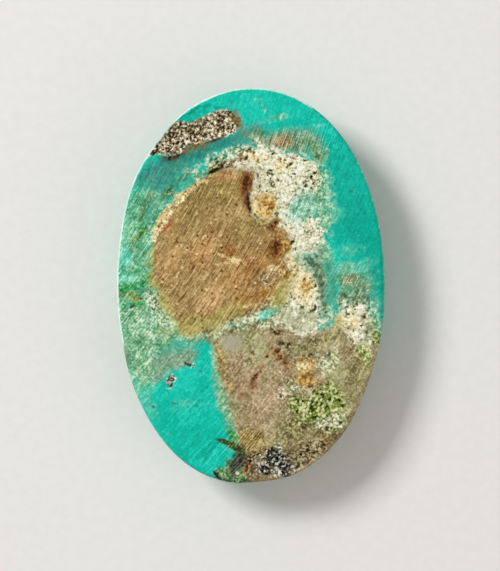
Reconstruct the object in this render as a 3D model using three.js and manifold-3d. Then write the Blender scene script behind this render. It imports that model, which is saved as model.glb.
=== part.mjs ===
// Turquoise stone: an oval cabochon, lying dome down with its flat, ground back up.
// The back has a small bevel all round and the natural pits and pockets of the rock.
// Millimetres, +Z up, origin at the middle of the footprint, on the resting surface.

import * as THREE from 'three';
import { mergeVertices } from 'three/addons/utils/BufferGeometryUtils.js';
import Module from 'manifold-3d';

// Driving dimensions
const LENGTH = 34.0; // long axis of the oval, along Y
const WIDTH = 23.0; // short axis of the oval, along X
const THICKNESS = 5.5; // from the resting flat to the back
const ROUNDNESS = 2.1; // exponent of the oval, where 2 is a true ellipse

const BEVEL_DROP = 0.28; // height of the ground bevel at the edge of the back
const BEVEL_WIDTH = 0.24; // its width seen from above
const BEVEL_EXTRA = 0.16; // how much wider it is at its widest
const BEVEL_WIDEST_AT = -38; // degrees from +X, where it is widest
const GIRDLE = 1.5; // height of the wall that a setting would grip
const GIRDLE_LEAN = 0.2; // how far the wall leans in towards the dome
const DOME_SHOULDER = 2.3; // exponent of the dome's profile, 2 is an ellipse
const DOME_TRUNCATION = 0.95; // part of the full dome left above the resting flat

const RIM_STEPS = 144; // points round the oval
const DOME_STEPS = 9; // rings from the resting flat up to the girdle
const PIT_STEPS = 22; // points round one pit
const PIT_STEEPNESS = 2.5; // vertical half-axis of a pit's cutter, for each millimetre of depth
const PIT_LUMP = 0.08; // share by which a pit swells and shrinks
const PIT_LUMPS_ALONG = 5; // how closely its lumps follow each other, along it and across it
const PIT_LUMPS_ACROSS = 4;
const SAME_POINT = 1e-4; // vertices closer than this are one

// Where the hand-ground rim strays from the oval: direction in degrees from +X,
// half-width of the stretch in degrees, and how far it goes out (+) or in (-)
const RIM_WANDER = [
  { at: 103, spread: 9, out: -0.1 },
  { at: 121, spread: 8, out: -0.13 },
  { at: 141, spread: 12, out: 0.13 },
  { at: 203, spread: 10, out: -0.09 },
  { at: 252, spread: 14, out: 0.12 },
  { at: 273, spread: 7, out: -0.16 },
  { at: 320, spread: 12, out: -0.12 },
];
const WANDER_FADE = 4; // exponent with which the wander dies away down the polished dome

// Pits and pockets in the back: centre, half length, half width, depth, and the
// direction of the long way in degrees from +X
const PITS = [
  { x: -5.0, y: 13.5, half: 4.4, across: 1.55, depth: 0.42, turn: 21 }, // gritty pocket, breaks the rim
  { x: -0.3, y: 8.7, half: 1.0, across: 0.42, depth: 0.36, turn: 86 }, // groove beside the nub, upper end
  { x: -0.1, y: 7.2, half: 1.1, across: 0.36, depth: 0.3, turn: 100 }, // groove beside the nub, lower end
  { x: -2.5, y: 10.1, half: 1.7, across: 0.16, depth: 0.2, turn: 21 }, // crevice above the brown patch
  { x: 2.4, y: 3.0, half: 0.7, across: 0.48, depth: 0.42, turn: 70 }, // rust-red pit
  { x: 5.0, y: -7.9, half: 0.95, across: 0.5, depth: 0.36, turn: 35 }, // hollow beside the orange nub
  { x: 3.0, y: -15.3, half: 3.2, across: 1.2, depth: 0.34, turn: 12 }, // speckled pocket, breaks the rim
  { x: -5.3, y: -6.7, half: 0.36, across: 0.26, depth: 0.24, turn: 50 }, // pinhole
  { x: -6.9, y: -8.2, half: 0.34, across: 0.28, depth: 0.24, turn: 60 }, // pinhole
];

const DEGREE = Math.PI / 180;

// Point of the rim in the direction `turn`, in radians from +X, with a share of its wander
function rimPoint(turn, share) {
  const power = 2 / ROUNDNESS;
  const cos = Math.cos(turn);
  const sin = Math.sin(turn);
  const x = (WIDTH / 2) * Math.sign(cos) * Math.abs(cos) ** power;
  const y = (LENGTH / 2) * Math.sign(sin) * Math.abs(sin) ** power;
  const point = new THREE.Vector2(x, y);
  const degrees = THREE.MathUtils.euclideanModulo(point.angle() / DEGREE, 360);
  let out = 0;
  for (const wander of RIM_WANDER) {
    out += wander.out * Math.exp(-(((degrees - wander.at) / wander.spread) ** 2));
  }
  return point.setLength(point.length() + share * out);
}

// Width of the bevel in the direction `turn`: it was ground freehand, so it varies
function bevelWidth(turn) {
  const towards = Math.max(0, Math.cos(turn - BEVEL_WIDEST_AT * DEGREE));
  return BEVEL_WIDTH + BEVEL_EXTRA * towards ** 3;
}

// One ring of points: the rim scaled, or pushed in by inset(turn), at height z
function ring(z, scale, inset = () => 0) {
  const points = [];
  for (let i = 0; i < RIM_STEPS; i++) {
    const turn = (i / RIM_STEPS) * 2 * Math.PI;
    const rim = rimPoint(turn, scale ** WANDER_FADE).multiplyScalar(scale);
    rim.setLength(rim.length() - inset(turn));
    points.push(new THREE.Vector3(rim.x, rim.y, z));
  }
  return points;
}

// Closed solid through rings given from the bottom up, with a flat at each end
function loft(rings) {
  const vertices = rings.flat();
  const indices = [];
  for (let level = 0; level + 1 < rings.length; level++) {
    const low = level * RIM_STEPS;
    const high = low + RIM_STEPS;
    for (let i = 0; i < RIM_STEPS; i++) {
      const next = (i + 1) % RIM_STEPS;
      indices.push(low + i, low + next, high + next);
      indices.push(low + i, high + next, high + i);
    }
  }
  const bottom = vertices.push(new THREE.Vector3(0, 0, rings[0][0].z)) - 1;
  const top = vertices.push(new THREE.Vector3(0, 0, rings.at(-1)[0].z)) - 1;
  const lastRing = (rings.length - 1) * RIM_STEPS;
  for (let i = 0; i < RIM_STEPS; i++) {
    const next = (i + 1) % RIM_STEPS;
    indices.push(bottom, next, i);
    indices.push(top, lastRing + i, lastRing + next);
  }
  const geometry = new THREE.BufferGeometry().setFromPoints(vertices);
  geometry.setIndex(indices);
  return geometry;
}

// The cabochon before its pits: resting flat, dome, leaning girdle, bevel and back
function cabochon() {
  const domeHeight = THICKNESS - BEVEL_DROP - GIRDLE;
  const fullDome = domeHeight / DOME_TRUNCATION;
  const lowest = Math.asin(DOME_TRUNCATION ** (DOME_SHOULDER / 2));
  const rings = [];
  for (let step = 0; step <= DOME_STEPS; step++) {
    // even steps of the profile's angle, from the resting flat to the girdle
    const angle = lowest * (1 - step / DOME_STEPS);
    const depth = fullDome * Math.sin(angle) ** (2 / DOME_SHOULDER);
    const reach = Math.cos(angle) ** (2 / DOME_SHOULDER);
    rings.push(ring(domeHeight - depth, reach, () => GIRDLE_LEAN * reach));
  }
  rings.push(ring(domeHeight + GIRDLE, 1));
  rings.push(ring(THICKNESS, 1, bevelWidth));
  return loft(rings);
}

// Lens-shaped cutter for one pit: a lumpy ellipsoid that dips below the back
function pitCutter({ x, y, half, across, depth, turn }) {
  const tall = PIT_STEEPNESS * depth; // tall, so that the pit's wall is steep at its edge
  const footprint = Math.sqrt(1 - ((tall - depth) / tall) ** 2);
  const geometry = new THREE.SphereGeometry(1, PIT_STEPS, PIT_STEPS / 2);
  const position = geometry.getAttribute('position');
  const point = new THREE.Vector3();
  for (let i = 0; i < position.count; i++) {
    point.fromBufferAttribute(position, i);
    const swell = Math.sin(PIT_LUMPS_ALONG * point.x + x) * Math.cos(PIT_LUMPS_ACROSS * point.z + y);
    const lump = 1 + PIT_LUMP * swell;
    position.setXYZ(i, point.x * lump, point.z * lump, point.y);
  }
  // the pole was turned from +Y to +Z by swapping axes, so the winding is put right
  const index = geometry.getIndex();
  for (let i = 0; i < index.count; i += 3) {
    const first = index.getX(i);
    index.setX(i, index.getX(i + 2));
    index.setX(i + 2, first);
  }
  geometry.scale(half / footprint, across / footprint, tall);
  geometry.rotateZ(turn * DEGREE);
  geometry.translate(x, y, THICKNESS + tall - depth);
  return geometry;
}

const wasm = await Module();
wasm.setup();

function toSolid(geometry) {
  geometry.deleteAttribute('normal');
  geometry.deleteAttribute('uv');
  const merged = mergeVertices(geometry, SAME_POINT);
  return new wasm.Manifold(
    new wasm.Mesh({
      numProp: 3,
      vertProperties: new Float32Array(merged.getAttribute('position').array),
      triVerts: new Uint32Array(merged.getIndex().array),
    }),
  );
}

function toGeometry(solid) {
  const mesh = solid.getMesh();
  const geometry = new THREE.BufferGeometry();
  geometry.setAttribute('position', new THREE.BufferAttribute(new Float32Array(mesh.vertProperties), 3));
  geometry.setIndex(new THREE.BufferAttribute(new Uint32Array(mesh.triVerts), 1));
  geometry.computeVertexNormals();
  return geometry;
}

function stoneGeometry() {
  let solid = toSolid(cabochon());
  for (const pit of PITS) {
    solid = solid.subtract(toSolid(pitCutter(pit)));
  }
  const geometry = toGeometry(solid);
  geometry.computeBoundingBox();
  const middle = geometry.boundingBox.getCenter(new THREE.Vector3());
  geometry.translate(-middle.x, -middle.y, 0);
  return geometry;
}

const turquoise = new THREE.MeshStandardMaterial({ color: 0x4fae94, roughness: 0.6, metalness: 0 });
const stone = new THREE.Mesh(stoneGeometry(), turquoise);
stone.name = 'turquoise_stone';

const part = new THREE.Group();
part.add(stone);

export default part;
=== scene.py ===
"""Turquoise stone: an oval cabochon lying on its polished dome, its flat ground back up.

The file is laid out as an add-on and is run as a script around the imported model.
"""

import math
from collections import namedtuple

import bpy
import numpy as np
from bpy.props import FloatProperty, FloatVectorProperty, PointerProperty
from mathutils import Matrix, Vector, noise


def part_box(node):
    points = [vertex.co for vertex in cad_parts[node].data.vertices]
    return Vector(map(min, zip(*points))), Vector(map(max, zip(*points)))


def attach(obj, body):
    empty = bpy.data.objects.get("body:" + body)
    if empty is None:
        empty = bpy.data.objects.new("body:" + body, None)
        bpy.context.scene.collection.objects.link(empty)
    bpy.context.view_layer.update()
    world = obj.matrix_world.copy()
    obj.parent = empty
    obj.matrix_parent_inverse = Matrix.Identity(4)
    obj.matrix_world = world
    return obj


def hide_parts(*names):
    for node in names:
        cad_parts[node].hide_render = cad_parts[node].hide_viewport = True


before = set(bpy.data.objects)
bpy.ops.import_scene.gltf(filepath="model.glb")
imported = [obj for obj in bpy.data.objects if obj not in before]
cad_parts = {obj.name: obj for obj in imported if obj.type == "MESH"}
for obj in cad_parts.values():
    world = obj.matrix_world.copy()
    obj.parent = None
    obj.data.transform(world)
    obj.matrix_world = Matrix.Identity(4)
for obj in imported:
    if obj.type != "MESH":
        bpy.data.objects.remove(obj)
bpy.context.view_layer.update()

bl_info = {
    "name": "Turquoise Stone",
    "version": (1, 0, 0),
    "blender": (4, 5, 0),
    "location": "View3D > Sidebar > Stone",
    "description": "Builds an oval turquoise cabochon with its rock matrix, and a stage for it",
    "category": "Add Mesh",
}

# ---------------------------------------------------------------- sizes and names

NODE = "turquoise_stone"
BODY = "root"
MM = 0.001  # one millimetre in scene units
TINY = 1e-9  # keeps a division by 0 away

LOW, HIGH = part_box(NODE)

# The stone's shape, in mm from the middle of its oval
LENGTH = 34.0
WIDTH = 23.0
ROUNDNESS = 2.1  # exponent of the oval, where 2 is a true ellipse
BEVEL_DROP = 0.28
BEVEL_WIDTH = 0.24
BEVEL_EXTRA = 0.16
BEVEL_WIDEST_AT = math.radians(-38)
GIRDLE = 1.5
GIRDLE_LEAN = 0.2
DOME_SHOULDER = 2.3
DOME_TRUNCATION = 0.95
WANDER_FADE = 4

# Where the rim strays from the oval: direction, half-width (degrees), out or in (mm)
RIM_WANDER = (
    (103, 9, -0.10),
    (121, 8, -0.13),
    (141, 12, 0.13),
    (203, 10, -0.09),
    (252, 14, 0.12),
    (273, 7, -0.16),
    (320, 12, -0.12),
)

PIT_STEEPNESS = 2.5  # height of a pit's round cutter for each millimetre of its depth

# Pits in the back: centre, half length, half width, depth (mm), direction (degrees)
PITS = (
    (-5.0, 13.5, 4.4, 1.55, 0.42, 21),
    (-0.3, 8.7, 1.0, 0.42, 0.36, 86),
    (-0.1, 7.2, 1.1, 0.36, 0.30, 100),
    (-2.5, 10.1, 1.7, 0.16, 0.2, 21),
    (2.4, 3.0, 0.7, 0.48, 0.42, 70),
    (5.0, -7.9, 0.95, 0.5, 0.36, 35),
    (3.0, -15.3, 3.2, 1.2, 0.34, 12),
    (-5.3, -6.7, 0.36, 0.26, 0.24, 50),
    (-6.9, -8.2, 0.34, 0.28, 0.24, 60),
)

# Mesh fineness: the back's squares are about 0.1 mm, half of a grit grain
ACROSS = 222  # squares across the back, a multiple of 6
ALONG = 330  # squares along it, a multiple of 6
DOME_SHARE = 3  # one dome square for so many of the back's
BEVEL_RINGS = 3
GIRDLE_RINGS = 5
BEVEL_ROUNDING = 1.3  # exponent of the bevel's profile, where 1 is a flat bevel

# The two maps that a baked texture uses: the width (mm) of the unit square, and where the
# middle of the back or of the dome lies in it. The dome's wall is rolled out by a share.
BACK_MAP = (43.0, (0.28, 0.5))
DOME_MAP = (76.0, (0.775, 0.5))
DOME_ROLL_OUT = 0.8

# The lap's centre, in mm from the middle of the back: it scratched arcs round it
LAP_CENTRE = (-60.0, 37.0)
LAP_REACH = 72.0  # from there to the middle of the stone, about (mm)

CAMERA_AIM = (-0.07, -0.01)  # what the camera centres on, in mm from the box's middle

# ---------------------------------------------------------------- colours

LEVELS = ("deep", "middle", "light")

# Colour families: the deep, middle and light tone of each kind of rock, and of the shade painted into
# cracks and pits
PALETTE = {
    "turquoise": ("009c84", "00c0a8", "34e0cc"),
    "jade": ("008470", "00ac94", "1cc8ac"),
    "teal": ("1c6860", "308a7c", "6cb49c"),
    "aqua": ("209c78", "5cccb0", "b4fce4"),
    "chalk": ("84ccb8", "d0f4e8", "ffffff"),
    "sea": ("2c8058", "68b48a", "bceec4"),
    "mint": ("388054", "7cb88a", "dcf0d0"),
    "leaf": ("08602c", "2aa060", "98c878"),
    "fern": ("041000", "406830", "a0c490"),
    "thicket": ("101404", "38440c", "7c9c5c"),
    "limonite": ("644418", "a08450", "e0c088"),
    "tan": ("70441c", "c09458", "f0d09c"),
    "olive": ("50400c", "98804a", "d8c480"),
    "loam": ("3c3408", "787044", "c0b880"),
    "khaki": ("6c6420", "b4aa60", "dcd090"),
    "rust": ("240c00", "784a20", "bc8c58"),
    "russet": ("6c2c14", "a4643c", "d09868"),
    "umber": ("300c00", "6c380c", "a87c40"),
    "shadow": ("080804", "241e14", "585040"),
    "rind": ("503c14", "d0b878", "fff4c8"),
    "sand": ("40300c", "6c5c28", "847448"),
    "crust": ("40461c", "d8d6ac", "fffff0"),
    "butter": ("906c2c", "ead494", "fff8d8"),
    "pale": ("3c4420", "90966a", "f0f0cc"),
    "stone": ("685028", "a09068", "dcd0a8"),
    "lichen": ("5c6034", "a09c6c", "d0d0a0"),
    "clay": ("705030", "a8906c", "e0c8a4"),
    "sage": ("446c50", "78a080", "bcd4b0"),
    "mist": ("3c6c50", "649274", "a4c4a4"),
    "frost": ("386440", "9cb888", "fafae4"),
    "bone": ("8c8c64", "c4caa4", "fafce0"),
    "foam": ("488c70", "90ccac", "e8fcf0"),
    "lagoon": ("2c8c6c", "4cac90", "80d0b4"),
    "flint": ("0c1004", "384030", "68705c"),
    "amber": ("643c00", "a0742a", "e8c478"),
    "ash": ("908c74", "b0aa90", "c0baa4"),
    "bark": ("1c1404", "604c22", "c4bc94"),
    "moss": ("3c4810", "788834", "e0e4ac"),
    "grit": ("342810", "a8946c", "fffae0"),
    "slate": ("080804", "58564a", "ecead8"),
    "honey": ("8c5c1c", "ba8f44", "f0d690"),
}
FLOOR = ("e6e4e0", "efede9")  # the floor's two tints
ROOM_LIGHT = "fffdfa"

# ---------------------------------------------------------------- zones of the rock

# How each kind of rock is made up. `soft` says how much its tone follows the blotches,
# mottles and flecks, and `hard` the scratches, grains and specks. `sink` is how far it
# lies below the ground back, and `rough` how deep its grain is (mm).
Texture = namedtuple("Texture", "soft hard sink rough")
TEXTURES = {
    "dense": Texture((0.25, 0.20, 0.20), (0.32, 0, 0.60), 0, 0),
    "cloudy": Texture((0.30, 0.40, 0.30), (0.40, 0.1, 0.60), 0.01, 0.03),
    "smooth": Texture((0.25, 0.25, 0.35), (0.36, 0, 0.60), 0, 0.02),
    "mottled": Texture((0.25, 0.55, 0.38), (0.48, 0.1, 0.60), 0.03, 0.05),
    "earthy": Texture((0.20, 0.16, 0.28), (0.52, 0, 1.30), 0, 0.02),
    "crumbly": Texture((0.20, 0.45, 0.45), (0.20, 0.6, 0.60), 0.03, 0.1),
    "chalky": Texture((0.15, 0.30, 0.40), (0, 0.9, 0.30), 0.05, 0.24),
    "gritty": Texture((0.10, 0.15, 0.60), (0, 0.9, 0.40), 0.05, 0.2),
    "scored": Texture((0.10, 0.20, 0.40), (0.90, 0, 0.30), 0.02, 0.03),
    "pitted": Texture((-0.3, 0.25, 0.50), (0, 0.5, 0.30), 0.06, 0.1),
}

# Each zone lies over the ones before it. `shape` is its outline, or its spots, in mm
# from the middle of the back: a spot is its middle, half length, half width (more than
# 0) and the direction of its long way (degrees). A shape that starts with "rim" is a
# band along the rim: from and to which direction (degrees), and its width. `edge` is how
# softly the zone begins, how far its outline strays and how far its grains scatter (mm).
Zone = namedtuple("Zone", "name texture tones edge shape")
FAR = 1.5  # distances from a zone's edge are kept up to here (mm)
ZONE_TAPER = 0.45  # how much narrower a zone is for each mm below the back
ZONE_DRIFT = 0.5  # how far a zone strays sideways for each mm below the back
RIM_BAND_END = 40  # degrees along the rim that fade a band's end as much as 1 mm does
DRIFT_SWELL = 5.0  # how far apart the sideways strayings below the back are (mm)
STRAY_BAY = 1.4  # bays of a zone's outline (mm)
STRAY_CRUMB = 0.45  # crumbs on a zone's outline (mm)
GRAIN_PATCH = 1.1  # patches in which grains stand closer or looser (mm)
CRUST_LUMP = 0.4  # lumps of the loose crusts (mm)
GRIT_GRAIN = 0.22  # grains of the fine-grained zones (mm)
FINE_GRAINED = (
    "gritty_pocket", "salt_and_pepper", "rust_specks", "speck_cluster", "left_grains",
    "pepper", "dark_specks", "crevice_grains",
)
GROUND_SWELL = 3.0  # how far apart the waves of the hand-ground back are (mm)
GROUND_WAVE = 0.008  # and how high (mm)

# Sizes of the colour's own patterns (mm). Flecks stand for all grains that are finer, and
# are drawn as coarse as 0.2 mm because much less wouldn't show.
BLOTCH = 4.0  # cloudy change of tone across a zone
MOTTLE = 0.9  # clusters of grains
FLECK = 0.2  # fine grains
ROUND_GRAIN = 0.34  # rounded grains of the crusts
SPECK_GAP = 0.42  # from one place for a speck to the next
SPECK_SHARE = 0.14  # share of those places with a pale speck, and as many with a dark one

# Scratches of the lap, fine and coarse: about how wide and long (mm), and how far from
# its mean the noise has to be for a full line
SCRATCHES = ((0.11, 1.4, 0.17), (0.22, 5.0, 0.27))

# Optics: an index typical of turquoise, and roughness from polished to crumbling
STONE_IOR = 1.61
POLISHED = 0.35
GROUND = 0.45
CRUMBLING = 0.9
PAPER_TOOTH = 0.8  # unevenness of the floor's paper (mm)
TOOTH_HEIGHT = 0.012  # of the scratches and grains that the mesh is too coarse for (mm)

ZONES = (
    Zone("right_side", "dense", "jade", (1.4, 0.4, 0),
        ((6.2, 14.8), (8.2, 11.5), (10.1, 8), (11.8, 2), (11.9, -2), (9.4, 1.5), (7.6, 5), (6.9, 9))),
    Zone("left_side", "mottled", "sea", (0.9, 0.5, 0.1),
        ((-11.0, 6.6), (-9.9, 8.2), (-8.6, 8.6), (-7.0, 6.6), (-7.6, 2.0), (-7.0, 0.0), (-5.8, -3.4),
        (-7.6, -6.5), (-9.4, -9.5), (-11.8, -7.5), (-12.5, 0.0))),
    Zone("bluish", "dense", "teal", (0.8, 0.4, 0.05),
        ((-9.8, 9.4), (-8.3, 10.6), (-6.4, 11.6), (-4.2, 12.4), (-1.4, 13.3), (0.9, 13.9),
        (1.4, 12.6), (0.6, 12.0), (-1.2, 12.0), (-3.0, 11.4), (-4.4, 10.4), (-6.0, 9.4),
        (-6.8, 8.4), (-8.4, 8.2))),
    Zone("left_upper", "mottled", "lagoon", (1.0, 0.6, 0.2),
        ((-6.6, 8.3, 1.8, 0.7, 45), (-8.7, 6.6, 1.8, 0.7, 70))),
    Zone("left_fringe", "cloudy", "aqua", (0.5, 0.6, 0.2),
        ((-10.3, 5.0, 0.9, 0.7, 70), (-10.9, 2.1, 1.0, 0.6, 80), (-10.6, 0.6, 0.8, 0.4, 10))),
    Zone("mint", "mottled", "mint", (0.5, 0.7, 0.3),
        ((-11.4, -1.4), (-10.0, -1.8), (-8.8, -0.6), (-8.2, 0.2), (-7.6, -1.6), (-6.2, -3.8),
        (-4.4, -4.5), (-5.6, -4.9), (-7.4, -5.4), (-8.0, -7.0), (-9.0, -8.2), (-10.2, -7.4),
        (-10.9, -4.5))),
    Zone("mint_upper", "mottled", "sea", (0.5, 0.6, 0.3),
        ((-10.0, 5.6, 1.4, 0.8, 75), (-8.9, 3.4, 1.5, 0.5, 80))),
    Zone("left_grains", "gritty", "frost", (0.3, 0.5, 0.5),
        ((-8.2, -1.4, 1.5, 0.6, -58), (-7.4, -2.9, 0.7, 0.4, -50))),
    Zone("leaf_green", "mottled", "leaf", (0.3, 0.5, 0.2),
        ((-10.5, -0.2, 1.1, 0.45, 8), (-9.1, 0.4, 1.0, 0.4, 35), (-9.3, 4.7, 0.5, 0.3, 60),
        (-9.9, 1.2, 0.5, 0.25, 20), (-9.9, -1.3, 0.9, 0.4, 10))),
    Zone("left_khaki", "dense", "moss", (0.3, 0.4, 0.4), ((-10.5, -0.8, 0.4, 0.05, 10),
        (-9.7, -1.1, 0.3, 0.12, 0), (-8.5, 1.2, 1.0, 0.15, -75))),
    Zone("left_dark", "mottled", "fern", (0.4, 0.5, 0.4), ((-6.2, 8.9, 0.6, 0.15, 40),
        (-7.2, 8.0, 0.7, 0.15, 60), (-8.9, 7.2, 0.5, 0.1, 70), (-8.2, 6.3, 0.4, 0.1, 80),
        (-9.5, 4.3, 0.4, 0.1, 60))),
    Zone("cloud", "cloudy", "mist", (0.25, 0.2, 0.05), ((-6.4, -6.2, 1.9, 1.0, 15),
        (-7.7, -7.3, 1.0, 0.5, 60), (-10.6, -5.8, 0.8, 0.3, -80))),
    Zone("matrix", "smooth", "stone", (0.3, 0.25, 0.1),
        ((-4.2, -4.3), (-2.2, -3.6), (-0.4, -3.0), (1.4, -3.1), (2.8, -3.0), (4.4, -3.6),
        (6.4, -3.6), (7.2, -3.2), (8.6, -3.4), (9.8, -4.2), (12.4, -5.6), (12.8, -8.0),
        (9.8, -15.0), (5.0, -18.5), (-0.6, -18.5), (-0.8, -16.0), (-1.1, -14.2), (-1.3, -12.8),
        (-1.9, -11.4), (-2.4, -9.4), (-2.9, -7.4), (-3.3, -5.4))),
    Zone("matrix_grey", "smooth", "lichen", (0.9, 0.6, 0.1),
        ((0.4, -5.2, 2.6, 1.4, 10), (-1.8, -5.0, 1.0, 0.8, 0), (7.4, -7.6, 1.8, 1.2, -60),
        (-1.7, -10.4, 2.0, 0.5, -75), (5.6, -4.8, 1.6, 0.6, 10))),
    Zone("matrix_pink", "smooth", "clay", (0.9, 0.6, 0.1),
        ((-0.6, -8.0, 2.2, 1.0, -60), (2.2, -4.2, 1.2, 0.7, 20), (1.4, -10.0, 3.0, 0.8, 50))),
    Zone("matrix_olive", "crumbly", "loam", (0.9, 0.5, 0.3),
        ((3.6, -12.4, 2.2, 1.0, 20), (6.4, -13.2, 1.8, 0.8, 40), (8.7, -7.6, 0.9, 0.5, 70),
        (1.0, -13.4, 1.6, 0.6, 10), (5.6, -4.9, 1.2, 0.35, 20))),
    Zone("matrix_dark", "smooth", "bark", (0.6, 0.4, 0.3),
        ((3.4, -14.6, 1.3, 0.8, 10), (0.1, -15.4, 1.6, 0.8, 80), (6.9, -13.6, 1.2, 0.5, 50))),
    Zone("matrix_edge", "cloudy", "mint", (0.25, 0.2, 0.15), ((-2.95, -7.2, 1.8, 0.2, -78),
        (-2.2, -10.4, 2.4, 0.3, -72))),
    Zone("foot_margin", "crumbly", "pale", (0.3, 0.3, 0.2),
        ((-5.0, -3.6), (-2.5, -2.6), (-0.5, -1.6), (1.2, -0.8), (2.8, -0.4), (3.2, -1.8),
        (2.6, -3.2), (0.6, -3.7), (-1.5, -3.9), (-3.5, -4.6))),
    Zone("right_grains", "crumbly", "sage", (0.6, 0.5, 0.3),
        ((9.3, -1.1, 1.8, 0.9, -20), (6.5, -2.8, 1.1, 0.9, 10), (7.8, -1.2, 0.5, 0.7, 0),
        (6.2, -0.8, 0.7, 2.4, 0), (5.5, 1.5, 1.0, 1.0, 0))),
    Zone("right_frost", "crumbly", "frost", (0.5, 0.4, 0.5), ((8.6, -1.3, 1.1, 0.3, -10),
        (10.5, -3.0, 1.7, 0.5, -75), (6.6, -2.8, 0.6, 0.4, 20))),
    Zone("beige_patch", "cloudy", "mint", (0.7, 0.4, 0.1), ((8.6, 0.4, 1.7, 1.0, -15),)),
    Zone("beige_heart", "cloudy", "pale", (0.7, 0.5, 0.2), ((8.5, 0.6, 0.8, 0.6, 50),
        (9.3, -0.1, 0.7, 0.4, -30))),
    Zone("green_white_grains", "chalky", "pale", (0.5, 0.5, 0.5),
        ((6.5, -6.4, 1.3, 0.8, 40),)),
    Zone("top_grains", "mottled", "mint", (0.3, 0.3, 0.2),
        ((1.0, 12.6, 0.5, 0.4, 0), (1.15, 15.2, 0.4, 0.1, -60), (1.9, 14.3, 0.3, 0.1, 20))),
    Zone("pale_clouds", "dense", "aqua", (0.5, 0.4, 0.1),
        ((8.4, 3.1, 0.7, 0.3, 10), (9.2, 1.5, 0.5, 0.1, 20), (-5.1, -10.2, 0.6, 0.2, 0),
        (7.2, 6.0, 0.7, 0.3, 30), (5.8, 13.7, 0.3, 0.15, 0), (-9.2, -9.6, 1.4, 0.4, -60))),
    Zone("pale_marks", "dense", "aqua", (0.07, 0.05, 0.04), ((9.2, 1.2, 0.5, 0.1, 8),
        (8.7, 1.6, 0.35, 0.09, 100), (9.6, 1.5, 0.3, 0.07, 60), (8.2, 3.2, 0.5, 0.14, -40),
        (5.8, 13.7, 0.3, 0.12, 20), (8.9, 3.0, 0.4, 0.1, 20))),
    Zone("smear", "scored", "olive", (0.7, 0.3, 0.15), ((3.1, 12.4, 1.9, 0.8, 0),
        (5.4, 11.9, 0.9, 0.5, -50))),
    Zone("smear_grey", "scored", "sage", (0.6, 0.4, 0.2), ((4.4, 12.5, 1.2, 0.8, 0),
        (1.2, 12.3, 0.7, 0.4, 0))),
    Zone("smear_pink", "scored", "clay", (0.4, 0.4, 0.2), ((2.4, 12.5, 0.6, 0.3, 0),)),
    Zone("smear_green", "mottled", "leaf", (0.4, 0.4, 0.3), ((5.3, 12.0, 0.6, 0.25, -40),)),
    Zone("crust_fade", "crumbly", "mint", (0.7, 0.4, 0.5),
        ((5.7, 8.6, 2.8, 1.0, -85), (6.0, 5.6, 1.8, 0.8, 88), (5.8, 3.4, 1.3, 0.6, -60))),
    Zone("crust", "chalky", "crust", (0.25, 0.4, 0.3),
        ((-2.4, 10.5), (-1.6, 11.2), (-0.6, 11.7), (0.8, 11.7), (2.4, 11.6), (4.2, 11.2),
        (5.4, 10.6), (5.8, 9.8), (5.8, 8.6), (5.5, 7.6), (5.4, 6.2), (6.2, 5.0), (6.3, 4.2),
        (6.0, 3.3), (5.4, 2.6), (4.6, 2.4), (4.8, 1.4), (5.6, 0.7), (6.0, -0.4), (5.8, -1.4),
        (6.0, -2.6), (5.8, -3.3), (4.6, -4.1), (3.4, -3.8), (2.5, -3.0), (2.7, -2.2), (2.6, -1.2),
        (2.6, -0.2), (2.4, 1.0), (2.2, 2.3), (2.6, 3.4), (2.2, 4.4), (0.6, 5.2), (-0.4, 6.6),
        (-0.4, 8.4), (-0.6, 9.4), (-2.0, 9.7))),
    Zone("crust_tip", "chalky", "frost", (0.4, 0.5, 0.55), ((-2.4, 10.85, 2.1, 0.5, 22),)),
    Zone("crevice_grains", "gritty", "grit", (0.15, 0.35, 0.35), ((-2.3, 10.3, 1.9, 0.34, 24),
        (-0.9, 10.7, 0.8, 0.35, 0))),
    Zone("crust_blob", "chalky", "crust", (0.25, 0.4, 0.3),
        ((7.2, -2.8), (7.9, -1.7), (8.8, -1.4), (9.8, -1.6), (10.3, -2.6), (10.6, -4.2),
        (10.3, -5.2), (9.4, -5.2), (8.6, -4.6), (7.9, -3.6))),
    Zone("crust_foot", "cloudy", "bone", (0.4, 0.3, 0.2), ((4.2, -2.9, 1.9, 0.95, -5),)),
    Zone("foot_net", "chalky", "crust", (0.12, 0.12, 0.2), ((3.0, -3.35, 0.9, 0.06, -30),
        (4.4, -4.1, 0.7, 0.08, 5), (5.6, -3.6, 0.9, 0.08, 40), (5.9, -2.4, 0.8, 0.06, 80),
        (4.2, -1.8, 1.4, 0.04, 0), (2.4, -2.6, 0.5, 0.05, 70), (4.6, -2.9, 0.4, 0.2, 0),
        (3.9, -2.4, 0.3, 0.1, 60), (5.2, -3.2, 0.25, 0.1, 0))),
    Zone("crust_yellow", "chalky", "butter", (0.5, 0.4, 0.2), ((4.4, -0.1, 1.6, 1.1, -60),
        (2.6, 10.3, 0.5, 0.35, 0), (7.7, -2.9, 0.6, 0.45, 0), (3.4, 2.3, 1.0, 0.6, -70),
        (0.4, 10.9, 0.8, 0.3, 0), (8.8, -3.0, 0.7, 0.5, 30))),
    Zone("mint_patch", "mottled", "foam", (0.5, 0.4, 0.25), ((4.4, 6.7, 1.5, 1.1, 40),)),
    Zone("grey_green_patch", "crumbly", "sage", (0.5, 0.4, 0.3), ((5.1, 2.1, 1.3, 0.7, -30),
        (5.9, 3.0, 0.6, 0.4, 0))),
    Zone("green_gap", "mottled", "thicket", (0.3, 0.3, 0.2), ((6.0, 0.3, 0.9, 0.25, -75),
        (5.6, 1.6, 0.5, 0.2, -50), (6.3, -1.4, 0.7, 0.15, -80), (5.6, 11.2, 0.4, 0.2, -60),
        (1.1, 13.15, 0.4, 0.2, -20), (9.7, -2.6, 0.3, 0.1, 60), (10.0, -3.8, 0.3, 0.1, 80),
        (8.0, -0.8, 0.4, 0.15, -20))),
    Zone("tongue", "cloudy", "lagoon", (0.3, 0.3, 0.1),
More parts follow.
